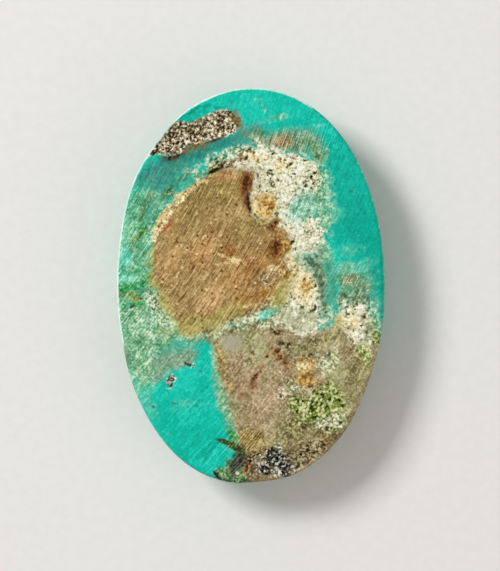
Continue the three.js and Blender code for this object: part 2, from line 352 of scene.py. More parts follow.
        ((6.2, 1.8), (7.0, 2.0), (7.4, 0.9), (7.3, -0.2), (7.5, -1.0), (7.0, -1.8), (6.5, -1.6),
        (6.3, -0.6), (6.6, 0.4))),
    Zone("streak", "cloudy", "aqua", (0.2, 0.3, 0.1), ((1.4, -2.4, 1.0, 0.35, 25),)),
    Zone("left_teal", "cloudy", "lagoon", (0.5, 0.4, 0.1), ((-5.5, -4.9, 1.8, 0.5, 15),
        (-1.9, -3.3, 1.0, 0.2, 10))),
    Zone("foot_grains", "chalky", "bone", (0.2, 0.4, 0.4), ((-1.2, -3.1, 1.3, 0.25, 12),
        (0.0, -2.9, 0.5, 0.3, 40))),
    Zone("lilac_spot", "dense", "ash", (0.4, 0.3, 0), ((-1.8, -4.9, 0.8, 0.6, 0),)),
    Zone("limonite", "earthy", "limonite", (0.1, 0.15, 0.08),
        ((-8.5, 1.9), (-8.4, 3.3), (-8.2, 4.9), (-7.4, 6.3), (-6.3, 7.4), (-5.2, 8.4), (-3.9, 9.3),
        (-2.4, 9.9), (-0.9, 9.9), (0.2, 9.6), (0.0, 8.4), (-0.2, 6.6), (0.5, 5.6), (2.0, 5.2),
        (3.1, 4.6), (3.3, 3.4), (2.9, 2.3), (3.3, 1.2), (3.1, 0.2), (2.3, -0.9), (1.0, -1.6),
        (-0.6, -2.6), (-2.3, -3.1), (-4.2, -4.0), (-5.4, -4.0), (-6.4, -3.0), (-7.4, -1.4),
        (-8.2, 0.2))),
    Zone("limonite_top", "earthy", "olive", (0.9, 0.4, 0.1),
        ((-2.6, 8.2, 3.2, 1.5, 24), (-5.4, 6.4, 1.8, 0.9, 45), (-0.6, 5.0, 1.4, 0.8, 60))),
    Zone("limonite_warm", "earthy", "tan", (0.7, 0.4, 0.2),
        ((0.0, -1.1, 1.8, 0.9, 25), (-0.2, 1.9, 2.2, 0.9, 10), (-1.2, 0.6, 1.6, 0.9, 40),
        (-3.9, 3.2, 1.8, 0.8, 50), (-3.2, -1.0, 1.8, 0.7, 60), (-6.9, 1.9, 1.0, 0.4, 60),
        (-1.8, 9.5, 1.0, 0.2, 5))),
    Zone("limonite_foot", "earthy", "khaki", (0.6, 0.4, 0.1),
        ((-4.4, -3.4, 2.2, 0.6, 10), (-1.8, -2.4, 1.5, 0.5, 25), (-7.5, -1.2, 1.4, 0.3, -60),
        (2.7, -0.6, 1.4, 0.55, 62))),
    Zone("limonite_rim", "earthy", "khaki", (0.15, 0.1, 0.05),
        ((-8.1, -0.2, 1.6, 0.12, -66), (-6.9, -2.5, 1.3, 0.12, -52), (-8.45, 2.3, 1.5, 0.1, 89))),
    Zone("red_stain", "earthy", "amber", (0.5, 0.5, 0.3),
        ((0.8, 1.4, 0.8, 0.25, 20), (0.7, -0.7, 0.9, 0.2, 20), (2.1, 3.1, 0.9, 0.7, 80),
        (-1.8, 3.2, 0.6, 0.4, 50), (6.1, -13.2, 0.35, 0.25, 0))),
    Zone("rust_specks", "gritty", "rust", (0.4, 0.6, 0.6), ((0.5, -7.7, 0.8, 0.15, 60),
        (2.6, -6.2, 0.8, 0.08, -50), (-0.2, -15.4, 0.9, 0.3, 60))),
    Zone("dark_specks", "gritty", "bark", (0.4, 0.6, 0.6), ((3.1, -5.0, 0.4, 0.12, 0),
        (2.3, -4.0, 0.35, 0.15, 0),
        (6.4, -4.2, 0.5, 0.15, 30), (-0.4, -6.6, 0.4, 0.1, 50), (0.2, -14.6, 0.7, 0.2, 40))),
    # russet stains, and at (5.3, -8.6) a painted shadow at the nub's lower right
    Zone("russet_stain", "crumbly", "russet", (0.5, 0.4, 0.3), ((-7.2, 5.1, 0.7, 0.4, 30),
        (-1.9, 3.3, 0.4, 0.2, 50), (5.3, -8.6, 0.6, 0.15, 15))),
    Zone("vein", "smooth", "butter", (0.16, 0.25, 0.2), ((-3.6, -4.05, 0.6, 0.08, 12),
        (-3.9, -4.4, 0.4, 0.05, 20), (-2.1, 2.45, 0.7, 0.03, -22), (-0.9, 2.15, 0.7, 0.02, 10),
        (2.0, 1.6, 0.5, 0.15, 20), (0.4, -1.5, 0.7, 0.1, 20))),
    Zone("moss", "chalky", "moss", (0.6, 0.7, 0.7),
        ((3.4, -9.4), (4.4, -9.2), (5.4, -8.8), (6.6, -8.4), (7.6, -8.8), (8.0, -9.8), (8.0, -11.0),
        (8.2, -12.0), (7.2, -12.4), (6.0, -12.0), (4.6, -11.4), (3.6, -11.0), (3.2, -10.2))),
    Zone("nub_crumbs", "chalky", "grit", (0.25, 0.5, 0.5), ((3.0, -8.7, 0.5, 0.35, 60),
        (3.9, -9.1, 0.6, 0.25, 0), (2.7, -9.3, 0.3, 0.2, 0))),
    Zone("moss_pale", "chalky", "pale", (0.3, 0.5, 0.5), ((7.0, -11.7, 1.3, 0.6, 10),
        (3.6, -8.8, 1.1, 0.4, -20))),
    Zone("moss_rim", "crumbly", "moss", (0.4, 0.5, 0.4), ((9.9, -6.2, 1.1, 0.7, -70),
        (10.7, -4.2, 1.2, 0.3, -80), (-3.9, 9.65, 0.45, 0.16, 30))),
    Zone("right_band", "smooth", "lichen", (0.4, 0.3, 0.1), ((9.4, -9.6, 1.9, 0.3, 68),)),
    Zone("bottom_green", "crumbly", "fern", (0.25, 0.4, 0.3),
        ((-3.3, -16.0), (-2.4, -15.4), (-1.8, -14.6), (-1.2, -15.4), (-0.6, -16.2), (-0.2, -16.4),
        (-0.6, -17.6), (-2.6, -17.4))),
    Zone("turquoise_scored", "scored", "turquoise", (0.8, 0.4, 0.1),
        ((-3.4, -14.4, 1.8, 0.7, 50), (-4.6, -10.4, 1.4, 0.6, 60), (6.8, 13.2, 1.6, 0.6, -60))),
    Zone("ochre", "scored", "olive", (0.6, 0.5, 0.1), ((-0.1, -13.3, 1.5, 1.0, 10),)),
    Zone("ochre_edge", "mottled", "leaf", (0.3, 0.3, 0.2), ((-1.6, -12.9, 0.8, 0.3, -60),)),
    Zone("slate_patch", "scored", "flint", (0.2, 0.3, 0.15), ((-1.2, -15.0, 1.3, 0.6, 70),)),
    Zone("spike", "mottled", "thicket", (0.08, 0.12, 0.05), ((-2.2, -13.4, 1.0, 0.22, -18),
        (-1.3, -13.9, 0.8, 0.36, -35))),
    Zone("salt_and_pepper", "gritty", "slate", (0.3, 0.6, 0.6), ((1.2, -15.4, 1.0, 0.9, 20),
        (2.1, -15.0, 1.0, 0.9, 60), (2.9, -15.7, 1.1, 0.7, 10))),
    Zone("salt_and_olive", "gritty", "bark", (0.3, 0.5, 0.4), ((5.0, -14.3, 1.6, 0.9, 35),
        (0.1, -15.9, 1.0, 0.3, 70))),
    Zone("sand_fringe", "crumbly", "sand", (0.3, 0.3, 0.2), ((-5.1, 11.95, 2.0, 0.5, 25),)),
    Zone("pocket_smudge", "cloudy", "flint", (0.3, 0.3, 0.1), ((-6.9, 11.1, 1.1, 0.4, 15),)),
    Zone("gritty_pocket", "gritty", "grit", (0.15, 0.3, 0.25),
        ((-8.9, 11.2), (-8.4, 12.9), (-7.1, 14.0), (-5.6, 14.1), (-4.2, 14.5), (-2.9, 15.0),
        (-1.7, 15.1), (-0.9, 14.6), (-0.8, 13.8), (-1.5, 13.1), (-3.0, 12.6), (-4.4, 12.3),
        (-5.8, 11.6), (-7.2, 11.2))),
    Zone("pocket_end", "crumbly", "sand", (0.3, 0.3, 0.4), ((-1.15, 14.2, 1.0, 0.45, -65),)),
    Zone("rind", "crumbly", "rind", (0.12, 0.25, 0.2),
        ((-8.6, 3.8), (-8.5, 4.8), (-7.6, 6.3), (-6.45, 7.4), (-5.35, 8.4), (-4.3, 9.15), (-3.8, 9.0),
        (-5.0, 8.2), (-6.1, 7.1), (-7.1, 5.9), (-7.7, 4.8), (-8.1, 3.8))),
    # the rind's whiter lower end, with a painted highlight on it
    Zone("rind_light", "smooth", "crust", (0.1, 0.15, 0.1), ((-8.4, 4.35, 0.55, 0.2, 78),)),
    Zone("brown_beds", "crumbly", "olive", (0.3, 0.3, 0.3), ((1.4, 5.4, 1.0, 0.5, 10),
        (-2.6, -6.2, 1.2, 0.24, -78), (-2.3, -7.8, 0.5, 0.12, -60))),
    Zone("groove", "smooth", "umber", (0.4, 0.3, 0.1), ((-0.45, 8.8, 1.2, 0.5, 86),
        (-0.2, 7.2, 0.8, 0.25, 100))),
    Zone("groove_line", "pitted", "shadow", (0.05, 0.1, 0.05), ((-0.2, 7.4, 0.6, 0.11, 100),
        (-0.1, 6.7, 0.35, 0.12, -70), (0.3, 6.15, 0.45, 0.14, -38),
        (0.1, 8.9, 0.3, 0.06, 80))),
    Zone("crevice", "pitted", "shadow", (0.06, 0.15, 0.1), ((-3.6, 9.65, 0.3, 0.04, 22),
        (-3.0, 9.95, 0.25, 0.06, 25), (-2.45, 10.3, 0.2, 0.09, 60), (-1.95, 10.2, 0.18, 0.09, 0),
        (-1.4, 10.7, 0.22, 0.09, 30), (-0.8, 10.45, 0.2, 0.1, -20), (-1.3, 10.2, 0.16, 0.08, 50),
        (-2.0, 10.75, 0.14, 0.08, 0), (-0.5, 10.85, 0.16, 0.07, 40))),
    Zone("nub", "crumbly", "honey", (0.2, 0.3, 0.2), ((1.2, 6.95, 1.15, 1.0, -40),
        (4.7, -0.1, 0.6, 0.45, 30), (4.7, -6.8, 0.95, 0.75, 0), (4.7, -7.8, 0.9, 0.8, 0))),
    Zone("nub_yellow", "crumbly", "khaki", (0.2, 0.3, 0.2), ((7.5, -2.9, 0.65, 0.5, 70),)),
    # painted highlight on the lit upper-left edges of the nub and of the rind
    Zone("golden_edges", "dense", "butter", (0.15, 0.2, 0.15), ((0.45, 7.0, 0.8, 0.22, 75),
        (0.9, 7.6, 0.5, 0.25, 20), (-7.75, 5.85, 0.9, 0.12, 55), (-6.6, 7.2, 0.7, 0.1, 46))),
    Zone("nub_cap", "crumbly", "rind", (0.35, 0.3, 0.2), ((4.5, -6.9, 0.8, 0.5, 20),)),
    # a dark frill along the nub's top, and at (5.3, -8.65) a painted shadow at its lower right
    Zone("nub_frill", "chalky", "bark", (0.15, 0.3, 0.3), ((4.7, -6.15, 0.9, 0.2, 0),
        (3.85, -6.7, 0.4, 0.08, 80), (5.3, -8.65, 0.6, 0.1, 15))),
    Zone("nub_shade", "crumbly", "olive", (0.2, 0.2, 0.15), ((2.0, 5.5, 0.5, 0.2, 60),
        (8.5, -3.6, 0.3, 0.2, 0), (6.5, -4.4, 0.5, 0.15, 50), (1.7, 6.6, 0.3, 0.12, 60),
        (2.1, 7.6, 0.3, 0.15, -50))),
    Zone("rust_pit", "crumbly", "rust", (0.2, 0.25, 0.2), ((2.2, 3.2, 1.1, 0.65, 75),)),
    Zone("pit_shade", "pitted", "umber", (0.25, 0.3, 0.2), ((1.9, 5.2, 0.5, 0.25, 60),
        (2.0, 3.1, 0.5, 0.3, 70))),
    Zone("rust_side", "crumbly", "amber", (0.3, 0.3, 0.2), ((3.1, 3.6, 1.1, 0.35, 75),
        (2.9, 0.9, 0.5, 0.25, -60))),
    Zone("pepper", "gritty", "grit", (0.3, 0.5, 0.6), ((1.3, 0.55, 0.65, 0.3, 20),)),
    Zone("speck_cluster", "gritty", "slate", (0.15, 0.35, 0.3), ((-5.35, -6.7, 0.45, 0.2, -10),
        (-6.95, -8.2, 0.5, 0.26, 60))),
    Zone("dark_pits", "pitted", "shadow", (0.06, 0.05, 0),
        ((-5.2, -6.8, 0.2, 0.12, 50), (-6.8, -8.5, 0.22, 0.14, 60), (-6.85, 10.9, 0.28, 0.2, 0),
        (7.6, -13.1, 0.14, 0.1, 0), (7.2, -12.3, 0.12, 0.1, 0), (-2.9, -16.3, 0.6, 0.16, -50),
        (1.4, -6.1, 0.14, 0.1, 0), (1.7, 9.9, 0.2, 0.1, 0), (3.1, 10.2, 0.16, 0.08, 60),
        (3.7, 9.6, 0.18, 0.08, 0), (0.6, 9.4, 0.3, 0.1, 80), (0.75, 8.5, 0.25, 0.08, 80),
        (-3.1, 12.5, 0.8, 0.14, 20), (-8.3, 11.35, 0.3, 0.12, 50),
        (-10.2, -1.8, 0.25, 0.09, 20), (-9.4, -1.1, 0.2, 0.08, -30), (1.2, 10.8, 0.14, 0.06, 0))),
    Zone("teal_dots", "pitted", "teal", (0.1, 0.05, 0),
        ((-4.2, -7.4, 0.16, 0.13, 0), (-6.6, -10.1, 0.18, 0.13, 0), (-8.4, -10.4, 0.18, 0.13, 0),
        (8.7, 8.1, 0.2, 0.12, 0), (8.7, 6.2, 0.12, 0.1, 0), (10.9, 1.2, 0.16, 0.1, 60))),
    Zone("mint_dots", "dense", "aqua", (0.06, 0.05, 0), ((-7.1, -12.7, 0.14, 0.11, 0),
        (9.75, 3.3, 0.12, 0.09, 0), (-8.6, -10.5, 0.16, 0.11, 0), (9.2, 4.3, 0.1, 0.07, 0))),
    Zone("white_dots", "dense", "crust", (0.08, 0.05, 0), ((-1.15, -16.1, 0.16, 0.14, 0),
        (-5.35, -6.55, 0.18, 0.12, 0))),
    # painted highlight along the upper-left bevel, which faces the key light
    Zone("chalky_rim", "dense", "chalk", (0.05, 0.03, 0), ("rim", 72, 205, 0.12)),
    # painted highlight: a pale line along the right-hand bevel
    Zone("thin_rim", "dense", "aqua", (0.06, 0.04, 0), ("rim", -10, 50, 0.1)),
    # painted reflection: a pinkish-beige sheen on the lower-right bevel
    Zone("clay_rim", "cloudy", "clay", (0.15, 0.1, 0.05), ("rim", 288, 328, 0.25)),
)


# ---------------------------------------------------------------- shape of the stone

def rim_point(turn, share):
    """x and y (mm) of the rim in the directions `turn` (radians), with a share of its wander."""
    power = 2 / ROUNDNESS
    x = WIDTH / 2 * np.sign(np.cos(turn)) * np.abs(np.cos(turn)) ** power
    y = LENGTH / 2 * np.sign(np.sin(turn)) * np.abs(np.sin(turn)) ** power
    degrees = np.degrees(np.arctan2(y, x)) % 360
    out = sum(far * np.exp(-(((degrees - at) / spread) ** 2)) for at, spread, far in RIM_WANDER)
    longer = 1 + share * out / np.hypot(x, y)
    return x * longer, y * longer


def oval(turn, reach, z, inset=0.0):
    """Points of the stone (mm) in the directions `turn`, at a reach from 0 to 1 and height z."""
    x, y = rim_point(turn, reach**WANDER_FADE)
    x, y = x * reach, y * reach
    shorter = 1 - inset / np.maximum(np.hypot(x, y), TINY)
    return np.stack([x * shorter, y * shorter, z + 0 * x], axis=1)


def disc_grid(across, along):
    """Turn and reach of the points of a square grid bent into a disc, row by row."""
    u, v = np.meshgrid(np.linspace(-1, 1, across + 1), np.linspace(-1, 1, along + 1))
    x = (u * np.sqrt(1 - v**2 / 2)).ravel()
    y = (v * np.sqrt(1 - u**2 / 2)).ravel()
    return np.arctan2(y, x), np.minimum(np.hypot(x, y), 1.0)


def grid_faces(across, along):
    """Squares of such a grid, facing up."""
    column, row = np.meshgrid(np.arange(across), np.arange(along))
    corner = (row * (across + 1) + column).ravel()
    return np.stack([corner, corner + 1, corner + across + 2, corner + across + 1], axis=1)


def grid_border(across, along):
    """Numbers of the grid's border points, anticlockwise seen from above."""
    wide = across + 1
    bottom = np.arange(across)
    right = across + wide * np.arange(along)
    top = along * wide + across - np.arange(across)
    left = wide * (along - np.arange(along))
    return np.concatenate([bottom, right, top, left])


def bevel_width(turn):
    """Width of the freehand bevel (mm): widest towards one side."""
    towards = np.maximum(0, np.cos(turn - BEVEL_WIDEST_AT))
    return BEVEL_WIDTH + BEVEL_EXTRA * towards**3


def dome_profile(way, height):
    """Reach and height (mm) on the dome, for a way from 0 at its crown to 1 at the girdle."""
    lowest = math.asin(DOME_TRUNCATION ** (DOME_SHOULDER / 2))
    crown = math.cos(lowest) ** (2 / DOME_SHOULDER)
    flat = crown / (1 + crown)  # share of the way that the resting flat takes
    angle = lowest * np.clip((1 - way) / (1 - flat), 0, 1)
    reach = np.where(way < flat, crown * way / flat, np.cos(angle) ** (2 / DOME_SHOULDER))
    drop = height / DOME_TRUNCATION * np.sin(angle) ** (2 / DOME_SHOULDER)
    return reach, np.maximum(height - drop, 0)


def smooth_shell(thickness):
    """The stone before its pits: points (mm), quads, triangles and the back's point count."""
    turn, reach = disc_grid(ACROSS, ALONG)
    back = oval(turn, reach, thickness, reach * bevel_width(turn))
    border = grid_border(ACROSS, ALONG)
    around = len(border)
    rim_turn = turn[border]
    width = bevel_width(rim_turn)

    rings = []
    for step in range(1, BEVEL_RINGS + 1):
        share = step / BEVEL_RINGS
        drop = BEVEL_DROP * share**BEVEL_ROUNDING  # rounded, as a hand-held stone is ground
        rings.append(oval(rim_turn, 1.0, thickness - drop, width * (1 - share)))
    for step in range(1, GIRDLE_RINGS):
        share = step / GIRDLE_RINGS
        z = thickness - BEVEL_DROP - GIRDLE * share
        rings.append(oval(rim_turn, 1.0, z, GIRDLE_LEAN * share))

    dome_turn, way = disc_grid(ACROSS // DOME_SHARE, ALONG // DOME_SHARE)
    dome_reach, dome_z = dome_profile(way, thickness - BEVEL_DROP - GIRDLE)
    dome = oval(dome_turn, dome_reach, dome_z, GIRDLE_LEAN * dome_reach)

    quads = [grid_faces(ACROSS, ALONG)]
    upper = border
    for level in range(len(rings)):
        lower = len(back) + level * around + np.arange(around)
        quads.append(np.stack([upper, lower, np.roll(lower, -1), np.roll(upper, -1)], axis=1))
        upper = lower
    first = len(back) + len(rings) * around
    quads.append(first + grid_faces(ACROSS // DOME_SHARE, ALONG // DOME_SHARE)[:, ::-1])

    # the last step down joins the fine ring to the dome's border, three points to one
    low = first + grid_border(ACROSS // DOME_SHARE, ALONG // DOME_SHARE)
    low_next = np.roll(low, -1)
    fine = [np.roll(upper, -k)[::DOME_SHARE] for k in range(DOME_SHARE + 1)]
    triangles = [
        np.stack([fine[0], low, fine[1]], axis=1),
        np.stack([fine[1], low, low_next], axis=1),
        np.stack([fine[1], low_next, fine[2]], axis=1),
        np.stack([fine[2], low_next, fine[3]], axis=1),
    ]
    points = np.concatenate([back, *rings, dome])
    return points, np.concatenate(quads), np.concatenate(triangles), len(back)


def wave(at, size, seed, octaves=1):
    """Smooth noise, about -1 to 1, with swells of `size` mm at the points `at`."""
    places = at / size + (0, 0, seed)
    return np.array([noise.fractal(place, 0.7, 2.1, octaves) for place in places.tolist()]) * 1.3


def closed_curve(corners, steps=5):
    """Smooth closed curve through the corners."""
    here = np.array(corners, float)
    before, after, later = np.roll(here, 1, 0), np.roll(here, -1, 0), np.roll(here, -2, 0)
    t = (np.arange(steps) / steps)[None, :, None]
    here, before, after, later = (p[:, None, :] for p in (here, before, after, later))
    curve = (
        2 * here
        + (after - before) * t
        + (2 * before - 5 * here + 4 * after - later) * t**2
        + (3 * here - before - 3 * after + later) * t**3
    ) / 2
    return curve.reshape(-1, 2)


def depth_inside(at, shape):
    """How far (mm) points are inside a zone's outline, its nearest spot or its band of the rim."""
    found = np.full(len(at), -FAR)
    if shape[0] == "rim":
        start, end, width = shape[1:]
        turn = np.degrees(np.arctan2(at[:, 1], at[:, 0]))
        along = (end - start) / 2 - np.abs((turn - (start + end) / 2 + 180) % 360 - 180)
        return np.minimum(width - rim_distance(at), along / RIM_BAND_END)
    if len(shape[0]) == 2:
        curve = closed_curve(shape)
        near = np.all((at > curve.min(0) - FAR) & (at < curve.max(0) + FAR), axis=1)
        here = at[near]
        gap = np.full(len(here), FAR**2)
        inside = np.zeros(len(here), bool)
        for start, end in zip(curve, np.roll(curve, -1, 0)):
            step = end - start
            away = here - start
            share = np.clip(away @ step / (step @ step), 0, 1)
            gap = np.minimum(gap, ((away - share[:, None] * step) ** 2).sum(1))
            crosses = (start[1] > here[:, 1]) != (end[1] > here[:, 1])
            x = start[0] + (here[:, 1] - start[1]) * step[0] / (step[1] or TINY)
            inside ^= crosses & (here[:, 0] < x)
        found[near] = np.where(inside, 1, -1) * np.sqrt(gap)
        return found
    for x, y, half, across, turn in shape:
        near = np.hypot(at[:, 0] - x, at[:, 1] - y) < half + FAR
        inside = (1 - spot_radius(at[near], x, y, half, across, turn)) * across
        found[near] = np.maximum(found[near], inside)
    return found


def rim_distance(at):
    """How far (mm) points are inside the rim, negative outside it."""
    heading = np.arctan2(at[:, 1] / LENGTH, at[:, 0] / WIDTH)
    turn = np.arctan2(
        np.sign(np.sin(heading)) * np.abs(np.sin(heading)) ** (ROUNDNESS / 2),
        np.sign(np.cos(heading)) * np.abs(np.cos(heading)) ** (ROUNDNESS / 2),
    )
    return np.hypot(*rim_point(turn, 1)) - np.hypot(at[:, 0], at[:, 1])


def spot_radius(at, x, y, half, across, turn):
    """Distance of points from an oval spot's middle, where 1 is its edge."""
    cos, sin = math.cos(math.radians(turn)), math.sin(math.radians(turn))
    dx, dy = at[:, 0] - x, at[:, 1] - y
    return np.hypot((dx * cos + dy * sin) / half, (dy * cos - dx * sin) / across)


def fade_in(value, low, high):
    """0 below `low`, 1 above `high`, and smooth between them."""
    share = np.clip((value - low) / (high - low), 0, 1)
    return share**2 * (3 - 2 * share)


def rock_fields(points, thickness):
    """Where each point is in every zone, and its grain: arrays of floats by name."""
    depth = thickness - points[:, 2]
    below = np.maximum(depth - BEVEL_DROP, 0)
    drift = np.stack([wave(points, DRIFT_SWELL, seed, 2) for seed in (11.3, 47.9)], axis=1)
    at = points[:, :2] + ZONE_DRIFT * below[:, None] * drift
    ragged = 0.6 * wave(points, STRAY_BAY, 3.7) + 0.5 * wave(points, STRAY_CRUMB, 8.1)
    fields = {}
    for zone in ZONES:
        stray = zone.edge[1] * ragged
        inside = depth_inside(at, zone.shape) + stray - ZONE_TAPER * below
        fields["zone_" + zone.name] = np.clip(inside, -FAR, FAR)

    # lumps of three sizes in the crusts, and grains of two in the fine-grained zones
    patch = 0.5 * wave(points, GRAIN_PATCH, 5.5)
    coarse = 0.6 * wave(points, CRUST_LUMP, 5.5) + 0.6 * wave(points, CRUST_LUMP / 2.1, 9.5)
    coarse = fade_in(coarse + 0.8 * patch + 0.25 * wave(points, CRUST_LUMP / 4, 1.5), -0.95, -0.2)
    fine = wave(points, GRIT_GRAIN, 2.2) + 0.6 * wave(points, GRIT_GRAIN / 1.8, 14.1) + 0.8 * patch
    fine = fade_in(fine, -0.8, 0.4)
    gritty = np.maximum.reduce([fade_in(fields["zone_" + name], -0.1, 0.2) for name in FINE_GRAINED])
    fields["grain"] = coarse + (fine - coarse) * gritty
    fields["polish"] = fade_in(depth, BEVEL_DROP, BEVEL_DROP + 0.5)
    return fields


def relief(points, fields):
    """How far (mm) the back lies below its ground plane at each point."""
    at = points[:, :2]
    # the pits' edges crumble in bays of 0.5 and 1.3 mm
    crumble = 1 + 0.16 * wave(points, 0.5, 21.4) + 0.12 * wave(points, 1.3, 25.2)
    down = np.zeros(len(points))
    above = 1 - 1 / PIT_STEEPNESS  # share of the cutter that stays above the back
    for x, y, half, across, depth, turn in PITS:
        radius = np.minimum(spot_radius(at, x, y, half, across, turn) * crumble, 1)
        bowl = np.sqrt(1 - (1 - above**2) * radius**2) - above
        down = np.maximum(down, PIT_STEEPNESS * depth * bowl)
    sink = np.zeros(len(points))
    rough = np.zeros(len(points))
    for zone in ZONES:
        share = fade_in(fields["zone_" + zone.name], -0.1, 0.25)
        sink += (TEXTURES[zone.texture].sink - sink) * share
        rough += (TEXTURES[zone.texture].rough - rough) * share
    fields["loose"] = fade_in(rough, 0.04, 0.16)
    down = down + sink + rough * (1 - fields["grain"])
    return np.maximum(down + GROUND_WAVE * (wave(points, GROUND_SWELL, 31.0, 2) + 0.4), 0)


def bake_layout(points, thickness):
    """Two flat maps of the points in the unit square: one of the back, one of the dome."""
    across = np.hypot(points[:, 0], points[:, 1])
    heading = points[:, :2] / np.maximum(across, TINY)[:, None]
    back = heading * (across + thickness - points[:, 2])[:, None]
    dome = heading * (across + DOME_ROLL_OUT * points[:, 2])[:, None] * (-1, 1)
    return back / BACK_MAP[0] + BACK_MAP[1], dome / DOME_MAP[0] + DOME_MAP[1]


def build_mesh(sizes):
    """The stone's mesh, in metres in the frame's own place, with its fields as attributes."""
    thickness = sizes.thickness / MM
    points, quads, triangles, on_back = smooth_shell(thickness)
    fields = rock_fields(points, thickness)
    down = relief(points, fields) * sizes.relief
    back_map, dome_map = bake_layout(points, thickness)
    points[:, 2] = np.minimum(points[:, 2], thickness - down * (1 - fields["polish"]))
    fields["hollow"] = down * (1 - fields["polish"])

    low, high = points.min(0)[:2], points.max(0)[:2]
    wanted = np.array([sizes.width, sizes.length]) / MM
    points[:, :2] = (points[:, :2] - (low + high) / 2) * wanted / (high - low)
    middle = (LOW + HIGH) / 2
    points = points * MM + (middle.x, middle.y, LOW.z)

    mesh = bpy.data.meshes.new("turquoise_stone_shape")
    faces = [*quads.tolist(), *triangles.tolist()]
    mesh.from_pydata(points.tolist(), [], faces)
    mesh.polygons.foreach_set("use_smooth", [True] * len(faces))
    for name, values in fields.items():
        layer = mesh.attributes.new(name, "FLOAT", "POINT")
        layer.data.foreach_set("value", values.astype(np.float32))
    corners = np.empty(len(mesh.loops), np.int32)
    mesh.loops.foreach_get("vertex_index", corners)

    # the back's map holds the back's squares and the bevel's, which come first
    squares = len(grid_faces(ACROSS, ALONG)) + BEVEL_RINGS * len(grid_border(ACROSS, ALONG))
    upper = (np.arange(len(corners)) < 4 * squares)[:, None]
    layout = np.where(upper, back_map[corners], dome_map[corners])
    mesh.uv_layers.new(name="OFBake").data.foreach_set("uv", layout.ravel().astype(np.float32))
    mesh.update()
    mesh.validate()
    return mesh


# ---------------------------------------------------------------- materials

def linear(code):
    """Linear colour with alpha from an sRGB hex code."""
    parts = [int(code[i : i + 2], 16) / 255 for i in (0, 2, 4)]
    return [c / 12.92 if c <= 0.04045 else ((c + 0.055) / 1.055) ** 2.4 for c in parts] + [1.0]


def node(tree, kind, inputs=(), **settings):
    """Add a shader node with its settings, and the values or links of its input sockets."""
    made = tree.nodes.new("ShaderNode" + kind)
    for name, value in settings.items():
        setattr(made, name, value)
    for name, value in dict(inputs).items():
        if isinstance(value, bpy.types.NodeSocket):
            tree.links.new(value, made.inputs[name])
        else:
            made.inputs[name].default_value = value
    return made


